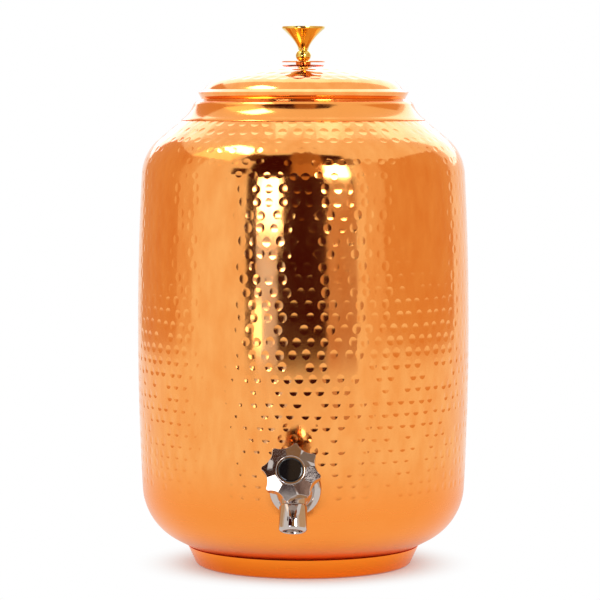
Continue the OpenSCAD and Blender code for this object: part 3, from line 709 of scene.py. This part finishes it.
bore_outline = [(0, bonnet_low - over), (thread_bore_r, bonnet_low - over), (thread_bore_r, bore_end),
                (stem_bore_r, bore_end), (stem_bore_r, pocket_low), (pocket_r, pocket_low),
                (pocket_r, tower_high + over), (0, tower_high + over)]
join_with(bonnet, turned("bonnet_bore", bore_outline, steps=72), "DIFFERENCE")
bpy.ops.object.shade_smooth_by_angle(angle=radians(nut_turn))
set_on(bonnet, barrel_turn, bend)
fit(bonnet, "tank", "chrome_plate", chrome_plate, "bonnet")

# Gland nut: a hexagon cap nut turned from brass bar and chromed. It screws down on the tower, and the lip
# inside it presses the packing round the spindle.
gland_af = 21.0
gland_low, gland_cover, gland_high = 35.0, 40.0, 42.0
gland_thread_r = tower_r + thread_gap
gland_lip_r, gland_lip_low = pocket_r - thread_gap, gland_cover - 1.0
gland_stem_r = 4.3
gland = nut("gland", gland_af, 0, gland_low, gland_high, chamfer=0.7)
gland_bore = [(0, gland_low - over), (gland_thread_r, gland_low - over), (gland_thread_r, gland_cover),
              (gland_lip_r, gland_cover), (gland_lip_r, gland_lip_low), (gland_stem_r, gland_lip_low),
              (gland_stem_r, gland_high + over), (0, gland_high + over)]
join_with(gland, turned("gland_bore", gland_bore, steps=72), "DIFFERENCE")
bpy.ops.object.shade_smooth_by_angle(angle=radians(nut_turn))
set_on(gland, barrel_turn, bend)
fit(gland, "tank", "chrome_plate", chrome_plate, "gland_nut")

# Star knob: a moulded and chromed handle with eight lobes, an eight-sided sloping face and a chamfered back,
# held on the spindle's square by a screw under its cap.
knob_low, knob_rim, knob_face = 43.5, 51.5, 55.0
lobes = 8
lobe_r = 19.9
lobe_tip_r = 1.6
valley_r = 16.3
first_lobe = 82.0
bezel_r = 9.9
square_w, square_depth = 5.5, 14.0
web_high, recess_r = 49.0, 7.6
back_chamfer = 2.5
knob_over = 10.0
knob_edge = 0.45
facet_turn = 11


def star_outline():
    """Points round the star: a small round at each lobe's tip, and a hollow between each two lobes."""
    half = 180 / lobes
    tip = lobe_r - lobe_tip_r
    x, y = tip * cos(radians(half)), tip * sin(radians(half))
    short = valley_r - x
    hollow_r = (short ** 2 + y ** 2 - lobe_tip_r ** 2) / 2 / (lobe_tip_r - short)
    hollow = valley_r + hollow_r
    lean = degrees(atan2(y, hollow - x))
    points = []
    for i in range(lobes):
        lobe = first_lobe + 2 * half * i
        valley = lobe + half
        tip_centre = (tip * cos(radians(lobe)), tip * sin(radians(lobe)))
        hollow_centre = (hollow * cos(radians(valley)), hollow * sin(radians(valley)))
        points += arc(tip_centre, lobe_tip_r, lobe - half - lean, lobe + half + lean, steps=16)
        points += arc(hollow_centre, hollow_r, valley + 180 + lean, valley + 180 - lean, steps=12)[1:-1]
    return points + points[:1]


knob = drawn("knob", [(x, y, knob_low) for x, y in star_outline()])
bpy.ops.mesh.remove_doubles(threshold=weld_gap * mm)
bpy.ops.mesh.edge_face_add()
bpy.ops.mesh.extrude_region_move(TRANSFORM_OT_translate={"value": (0, 0, (knob_face - knob_low) * mm)})
bpy.ops.mesh.select_all(action="SELECT")
bpy.ops.mesh.normals_make_consistent(inside=False)
bpy.ops.object.mode_set(mode="OBJECT")
facet = 1 / cos(pi / lobes)
face_run = (lobe_r - bezel_r) / (knob_face - knob_rim)
face_low_r = bezel_r + (knob_face - knob_low) * face_run
bpy.ops.object.select_all(action="DESELECT")
bpy.ops.mesh.primitive_cone_add(vertices=lobes, radius1=face_low_r * facet * mm, radius2=bezel_r * facet * mm,
                                depth=(knob_face - knob_low) * mm,
                                location=(0, 0, (knob_low + knob_face) / 2 * mm),
                                rotation=(0, 0, radians(first_lobe + 90 + 180 / lobes)))
facets = bpy.context.active_object
bpy.ops.object.transform_apply(location=True, rotation=True, scale=True)
join_with(knob, facets, "INTERSECT")
back_high = knob_low + back_chamfer + knob_over
back_outline = [(0, knob_low), (lobe_r - back_chamfer, knob_low), (lobe_r + knob_over, back_high),
                (0, back_high)]
join_with(knob, turned("knob_back", back_outline), "INTERSECT")
soften(knob, knob_edge, segments=3, angle=30)
bpy.ops.mesh.primitive_cube_add(size=1, location=(0, 0, knob_low * mm))
socket = bpy.context.active_object
socket.scale = (square_w * mm, square_w * mm, square_depth * mm)
bpy.ops.object.transform_apply(location=True, rotation=True, scale=True)
join_with(knob, socket, "DIFFERENCE")
join_with(knob, rod("recess", recess_r, web_high, knob_face + over, 0, (0, 0, 0), steps=64), "DIFFERENCE")
bpy.ops.object.shade_smooth_by_angle(angle=radians(facet_turn))
set_on(knob, barrel_turn, bend)
fit(knob, "handle", "chrome_plate", chrome_plate, "star_knob")

# Bezel: a ring turned from brass and chromed, with a finely knurled edge and a seat for the cap. Its spigot
# is pressed into the knob's recess.
bezel_high = 57.5
bezel_chamfer = 0.4
bezel_edge_r, bezel_edge_turn, bezel_edge_drop = 0.7, 15, 0.5
cap_r = 8.4
cap_low = 55.8
cap_seat_r = cap_r + 0.05
spigot_in_r, spigot_r, spigot_low = 6.15, 7.55, 53.2
knurls = 60
knurl_band, knurl_shrink, knurl_turn = 0.2, 0.965, 30
bezel_outline = [(0, knob_face), (spigot_in_r, knob_face), (spigot_in_r, spigot_low), (spigot_r, spigot_low),
                 (spigot_r, knob_face), (bezel_r - bezel_chamfer, knob_face),
                 (bezel_r, knob_face + bezel_chamfer), (bezel_r, bezel_high - bezel_edge_drop)]
bezel_outline += arc((bezel_r - bezel_edge_r, bezel_high - bezel_edge_r), bezel_edge_r, bezel_edge_turn, 90,
                     steps=5)
bezel_outline += [(cap_seat_r, bezel_high), (cap_seat_r, cap_low), (0, cap_low)]
bezel = turned("bezel", bezel_outline, 2 * knurls)
grooves = [v.index for v in bezel.data.vertices if hypot(v.co.x, v.co.y) > (bezel_r - knurl_band) * mm
           and round(atan2(v.co.y, v.co.x) / pi * knurls) % 2]
choose(bezel, "vertices", grooves)
bpy.ops.transform.resize(value=(knurl_shrink, knurl_shrink, 1), center_override=(0, 0, 0))
bpy.ops.object.mode_set(mode="OBJECT")
bpy.ops.object.shade_smooth_by_angle(angle=radians(knurl_turn))
set_on(bezel, barrel_turn, bend)
fit(bezel, "handle", "chrome_plate", chrome_plate, "cap_bezel")

# Cap: a plain, slightly domed disc moulded in gloss black plastic. It snaps into the bezel and covers the
# screw that holds the knob.
cap_crown, crown_steps = 0.4, 6
cap_chamfer = 0.25

# Gloss plastic: moulded black with a polished skin and fine hairline scratches.
scratch_w = 2.0
gloss_black = new_finish("gloss_black")
spot = add_node(gloss_black, "ShaderNodeTexCoord", {}).outputs["Object"]
scratches = add_node(gloss_black, "ShaderNodeTexNoise",
                     {"Scale": 1 / (scratch_w * mm), "Detail": 5.0, "Distortion": 1.5},
                     {"Vector": spot}).outputs["Fac"]
tone = add_node(gloss_black, "ShaderNodeMix",
                {"data_type": "RGBA", 6: linear("#0B0A0A"), 7: linear("#161415")}, {0: scratches}).outputs[2]
gloss = add_node(gloss_black, "ShaderNodeMapRange", {"To Min": 0.06, "To Max": 0.16},
                 {"Value": scratches}).outputs["Result"]
shader = add_node(gloss_black, "ShaderNodeBsdfPrincipled", {"IOR": 1.49},
                  {"Base Color": tone, "Roughness": gloss})
add_node(gloss_black, "ShaderNodeOutputMaterial", {}, {"Surface": shader.outputs["BSDF"]})

cap_top_r = cap_r - cap_chamfer
cap_outline = [(0, cap_low), (cap_r, cap_low), (cap_r, bezel_high - cap_chamfer), (cap_top_r, bezel_high)]
crown_shares = [1 - i / crown_steps for i in range(1, crown_steps + 1)]
cap_outline += [(cap_top_r * share, bezel_high + cap_crown * (1 - share ** 2)) for share in crown_shares]
cap = turned("cap", cap_outline)
bpy.ops.object.shade_smooth_by_angle(angle=radians(smooth_turn))
set_on(cap, barrel_turn, bend)
fit(cap, "handle", "cap_black", gloss_black, "cap_disc")

# Hidden pieces: the tap's brass spindle, jumper and nut, its rubber washer and packing and its fibre ring,
# and the steel screws and washer of the two knobs. They keep their solids and get their finishes.

# Turned brass: bar turned on a lathe and buffed, so it mirrors clearly, with fine tool lines round it.
turned_brass = grained("turned_brass", ("#EED070", "#E2BE58"), patch=(9, 3.0), grain=(0.35, 2.0),
                       rough=(0.06, 0.18), relief=(0.15, 0.02), settings={"Metallic": 1.0}, stretch=0.04)

# Pressed fibre: paper fibre cured hard in sheets, matt and mottled red brown.
fibre_w = 0.6
fibre = new_finish("pressed_fibre")
spot = add_node(fibre, "ShaderNodeTexCoord", {}).outputs["Object"]
threads = add_node(fibre, "ShaderNodeTexNoise",
                   {"Scale": 1 / (fibre_w * mm), "Detail": 5.0, "Distortion": 2.0},
                   {"Vector": spot}).outputs["Fac"]
tone = add_node(fibre, "ShaderNodeMix",
                {"data_type": "RGBA", 6: linear("#8C3A28"), 7: linear("#6E2A1E")}, {0: threads}).outputs[2]
relief = add_node(fibre, "ShaderNodeBump", {"Strength": 0.3, "Distance": 0.03 * mm},
                  {"Height": threads}).outputs["Normal"]
shader = add_node(fibre, "ShaderNodeBsdfPrincipled", {"Roughness": 0.7, "IOR": 1.5},
                  {"Base Color": tone, "Normal": relief})
add_node(fibre, "ShaderNodeOutputMaterial", {}, {"Surface": shader.outputs["BSDF"]})

kept_solids = {"spindle": turned_brass, "valve_jumper": turned_brass, "washer_nut": turned_brass,
               "valve_washer": moulded_rubber, "gland_packing": moulded_rubber, "bonnet_gasket": fibre,
               "handle_screw": plain_steel, "knob_screw": plain_steel, "knob_washer": plain_steel}
for node, finish in kept_solids.items():
    solid = frame["nodes"][node]
    solid.data.materials.clear()
    solid.data.materials.append(finish)

# Lid skirt: a copper ring that hangs in the mouth and centres the lid, with a collar that lies on the rim.
# It is soldered to the lid's underside.
skirt_r, skirt_in_r, skirt_low = 68.599, 67.199, 316.599
collar_out_r = 70.899
lid_low_z = 331.999
skirt_edge = 0.25
skirt_outline = [(skirt_in_r, skirt_low), (skirt_r, skirt_low), (skirt_r, rim_z), (collar_out_r, rim_z),
                 (collar_out_r, lid_low_z), (skirt_in_r, lid_low_z), (skirt_in_r, skirt_low)]
skirt = turned("skirt", skirt_outline, round_steps)
soften(skirt, skirt_edge)
fit(skirt, "lid", "copper_polished", polished_copper, "lid_skirt")

# Lid: a dome spun from copper sheet with a drawn-in band at its edge and a sloping ledge above it. The dome
# is hammered in rings like the wall, above a smooth turn at its edge.
lid_low_r = 72.299
lid_r = 74.899
band_top_z = 336.849
edge_r = 18.0
edge_centre = (54.911, 329.716)
edge_start, edge_marks, edge_end = 30.0, 55.0, 71.383
dome_r = 190.0
dome_centre = (0, 166.717)
dome_marks_end = 85.3
top_flat_turn, lid_top_z = 87.285, 356.504
screw_hole_r = 2.75
lid_steps = 160
lid_edge = 0.3
lid_rows = 5
lid_pitch = 10.2
lid_outline = [(skirt_in_r, lid_low_z), (lid_low_r, lid_low_z), (lid_r, band_top_z)]
lid_outline += arc(edge_centre, edge_r, edge_start, edge_end, steps=14)
lid_outline += arc(dome_centre, dome_r, edge_end, top_flat_turn, steps=10)[1:] + [(screw_hole_r, lid_top_z)]
lid = turned("lid_skin", lid_outline, lid_steps)
thicken(lid)
soften(lid, lid_edge, angle=30)
marked_path = arc(edge_centre, edge_r, edge_marks, edge_end, steps=8)
marked_path += arc(dome_centre, dome_r, edge_end, dome_marks_end, steps=24)[1:]
lid.data.materials.append(hammered_copper)
lid_shares = [(i + 0.5) / lid_rows for i in range(lid_rows)]
hammer(lid, marked_path, lid_shares, lid_pitch, mark_r=4.8, mark_slope=9.0, missing=0.0, seed=11)
crisp_rims(lid)
fit(lid, "lid", "copper_hammered", hammered_copper, "lid_dome")

# Knob plate: a thin copper disc on a small hub, turned and polished. It stands the finial off the dome, and
# the finial's screw clamps it there.
plate_low, plate_high, plate_top = lid_top_z, 358.104, 358.904
plate_r, hub_r = 15.3, 5.4
plate_edge = 0.2
plate_outline = [(screw_hole_r, plate_low), (hub_r, plate_low), (hub_r, plate_high), (plate_r, plate_high),
                 (plate_r, plate_top), (screw_hole_r, plate_top), (screw_hole_r, plate_low)]
plate = turned("plate", plate_outline)
soften(plate, plate_edge, segments=3)
fit(plate, "lid", "copper_polished", polished_copper, "knob_plate")

# Finial: the lid's knob, turned from solid brass with a waist, a bead, a groove and a trumpet that flares to
# a dished top. It is polished bright and held by a screw from under the lid.
bead_r, bead_curve_r, bead_h = 5.4, 4.5, 6.9
groove_r, groove_h = 3.0, 0.5
throat_r, trumpet_r, trumpet_h, flare_power = 3.5, 15.2, 15.2, 1.56
flare_steps = 20
trumpet_band, trumpet_lip = 1.5, 1.2
dish, dish_r, dish_share = 0.7, 8.0, 0.75
finial_edge = 0.2
finial_bore_r, finial_bore_h = 2.5, 5.5
bead_turn = 50.055
bead_z = plate_top + groove_h
groove_z = bead_z + bead_h
throat_z = groove_z + groove_h
trumpet_z = throat_z + trumpet_h
finial_top = trumpet_z + trumpet_band
finial_outline = [(0, plate_top + finial_bore_h), (finial_bore_r, plate_top + finial_bore_h),
                  (finial_bore_r, plate_top), (throat_r, plate_top), (throat_r, bead_z)]
finial_outline += arc((bead_r - bead_curve_r, bead_z + bead_h / 2), bead_curve_r, -bead_turn, bead_turn,
                      steps=16)
finial_outline += [(groove_r, groove_z), (groove_r, throat_z)]
finial_outline += [(throat_r + (trumpet_r - throat_r) * (i / flare_steps) ** flare_power,
                    throat_z + trumpet_h * i / flare_steps) for i in range(flare_steps + 1)]
finial_outline += [(trumpet_r, finial_top), (trumpet_r - trumpet_lip, finial_top)]
finial_outline += [(dish_r, finial_top - dish_share * dish), (0, finial_top - dish)]
finial = turned("finial", finial_outline, steps=128)
soften(finial, finial_edge, segments=3)
fit(finial, "lid", "brass_turned", turned_brass, "knob_finial")

# Stage, in metres: a pale floor that fades to the white backdrop, dark and pale flats that only the polished
# metal shows, and a soft overhead box light. The camera stands where the photograph was taken from.
floor_w = 8.0
shadow_in_r, shadow_out_r = 0.055, 0.125
room_light = 1.1


def seen_white(finish):
    """Whether a ray comes from the camera, or shows the place in polished or clear surfaces."""
    ray = add_node(finish, "ShaderNodeLightPath", {}).outputs
    shown = add_node(finish, "ShaderNodeMath", {"operation": "MAXIMUM"},
                     {0: ray["Is Camera Ray"], 1: ray["Is Glossy Ray"]}).outputs[0]
    return add_node(finish, "ShaderNodeMath", {"operation": "MAXIMUM"},
                    {0: shown, 1: ray["Is Transmission Ray"]}).outputs[0]


bpy.ops.mesh.primitive_plane_add(size=floor_w)
floor = bpy.context.active_object
floor.name = "floor"
floor_finish = new_finish("pale_floor")
spot = add_node(floor_finish, "ShaderNodeTexCoord", {}).outputs["Object"]
reach = add_node(floor_finish, "ShaderNodeVectorMath", {"operation": "LENGTH"}, {0: spot}).outputs["Value"]
fade = add_node(floor_finish, "ShaderNodeMapRange",
                {"interpolation_type": "SMOOTHSTEP", "From Min": shadow_in_r, "From Max": shadow_out_r},
                {"Value": reach}).outputs["Result"]
far = add_node(floor_finish, "ShaderNodeMath", {"operation": "MULTIPLY"},
               {0: seen_white(floor_finish), 1: fade}).outputs[0]
paint = add_node(floor_finish, "ShaderNodeBsdfDiffuse", {"Color": linear("#E9E9E8")})
white = add_node(floor_finish, "ShaderNodeEmission", {"Strength": 1.0})
mixed = add_node(floor_finish, "ShaderNodeMixShader", {},
                 {0: far, 1: paint.outputs["BSDF"], 2: white.outputs["Emission"]})
add_node(floor_finish, "ShaderNodeOutputMaterial", {}, {"Surface": mixed.outputs["Shader"]})
floor.data.materials.append(floor_finish)


def flat(name, azimuth, distance, low, high, width, colour, strength=1.0):
    """A flat that stands upright round the object and shows only in polished surfaces. Its azimuth, in
    degrees, is counted from the tap's side to the right, and low and high are its edges' heights."""
    turn = radians(azimuth)
    bpy.ops.object.select_all(action="DESELECT")
    bpy.ops.mesh.primitive_plane_add(size=1, rotation=(pi / 2, 0, turn),
                                     location=(distance * sin(turn), -distance * cos(turn), (low + high) / 2))
    card = bpy.context.active_object
    card.name = name
    card.scale = (width, high - low, 1)
    finish = new_finish(name)
    glow = add_node(finish, "ShaderNodeEmission", {"Color": linear(colour), "Strength": strength})
    add_node(finish, "ShaderNodeOutputMaterial", {}, {"Surface": glow.outputs["Emission"]})
    card.data.materials.append(finish)
    card.visible_camera = False
    card.visible_diffuse = False
    card.visible_shadow = False
    card.visible_transmission = False


# First the dark middle of the room with its bright windows, then the warm sides and the pale back, and last
# the light boxes and the small cards that stand close
flat("dark_flat", 1, 1.5, 0.0, 2.6, 2.22, "#3A0E10")
flat("brown_flat", 28.4, 1.47, 0.0, 0.36, 0.53, "#CBAD9D")
flat("white_strip", -19.6, 1.45, 0.3, 0.43, 0.384, "#E6ECFF", 13.0)
flat("tan_strip", -21.3, 1.45, 0.02, 0.3, 0.351, "#B4C6FF", 1.5)
flat("window_flat", 25.6, 1.45, 0.44, 1.15, 0.418, "#FFFFFF", 13.0)
flat("high_flat", 6.3, 1.47, 0.5, 2.6, 0.6, "#B98B5C")
flat("left_flat", -119, 1.8, 0.0, 1.6, 1.9, "#E5BC8F")
flat("left_soft", -85, 1.82, 0.0, 1.6, 0.45, "#F4DFC8")
flat("right_flat", 93, 1.8, 0.0, 1.6, 2.6, "#E7C093")
flat("right_soft", 52, 1.82, 0.0, 1.6, 0.45, "#F4DFC8")
flat("back_flat", 180, 1.7, 0.6, 9.0, 3.0, "#D8D6F4", 3.0)
flat("soft_box", -70, 1.0, 1.55, 2.4, 0.75, "#FFFFFF", 12.0)
flat("glint_card", -25.2, 0.55, 0.125, 0.175, 0.05, "#FFFFFF", 4.0)
flat("knob_card_top", 2.7, 0.286, 0.42, 0.66, 0.09, "#A67B52")
flat("knob_card_right", 33.4, 0.551, 0.56, 0.76, 0.12, "#A08A78")
flat("knob_card_high", -36.0, 0.477, 0.6, 0.84, 0.12, "#5A3726")
flat("knob_card_left", -40.4, 0.709, 0.42, 0.55, 0.13, "#4E2F22")
flat("pale_box", -75, 1.0, 1.0, 1.55, 0.75, "#FFF1DC", 1.8)

bpy.ops.object.light_add(type="AREA", location=(-0.7, -0.6, 1.9))
box_light = bpy.context.active_object
box_light.name = "box_light"
box_light.data.size = 0.7
box_light.data.energy = 4
box_light.rotation_euler = (radians(25), radians(-22), 0)
box_light.visible_glossy = False

world = bpy.data.worlds.new("white_room")
bpy.context.scene.world = world
world.use_nodes = True
world.node_tree.nodes.clear()
level = add_node(world, "ShaderNodeMapRange", {"To Min": room_light, "To Max": 1.0},
                 {"Value": seen_white(world)}).outputs["Result"]
backdrop = add_node(world, "ShaderNodeBackground", {"Color": (1, 1, 1, 1)}, {"Strength": level})
add_node(world, "ShaderNodeOutputWorld", {}, {"Surface": backdrop.outputs["Background"]})

view_turn = radians(2.75)
camera_far, camera_high = 2.1, 0.3298
camera_dip, camera_turn = 3.840, 2.815
bpy.ops.object.camera_add(location=(camera_far * sin(view_turn), -camera_far * cos(view_turn), camera_high),
                          rotation=(radians(90 - camera_dip), 0, radians(camera_turn)))
camera = bpy.context.active_object
camera.data.lens = 176.8
camera.data.sensor_width = 36
bpy.context.scene.camera = camera
bpy.context.scene.view_settings.view_transform = "Standard"
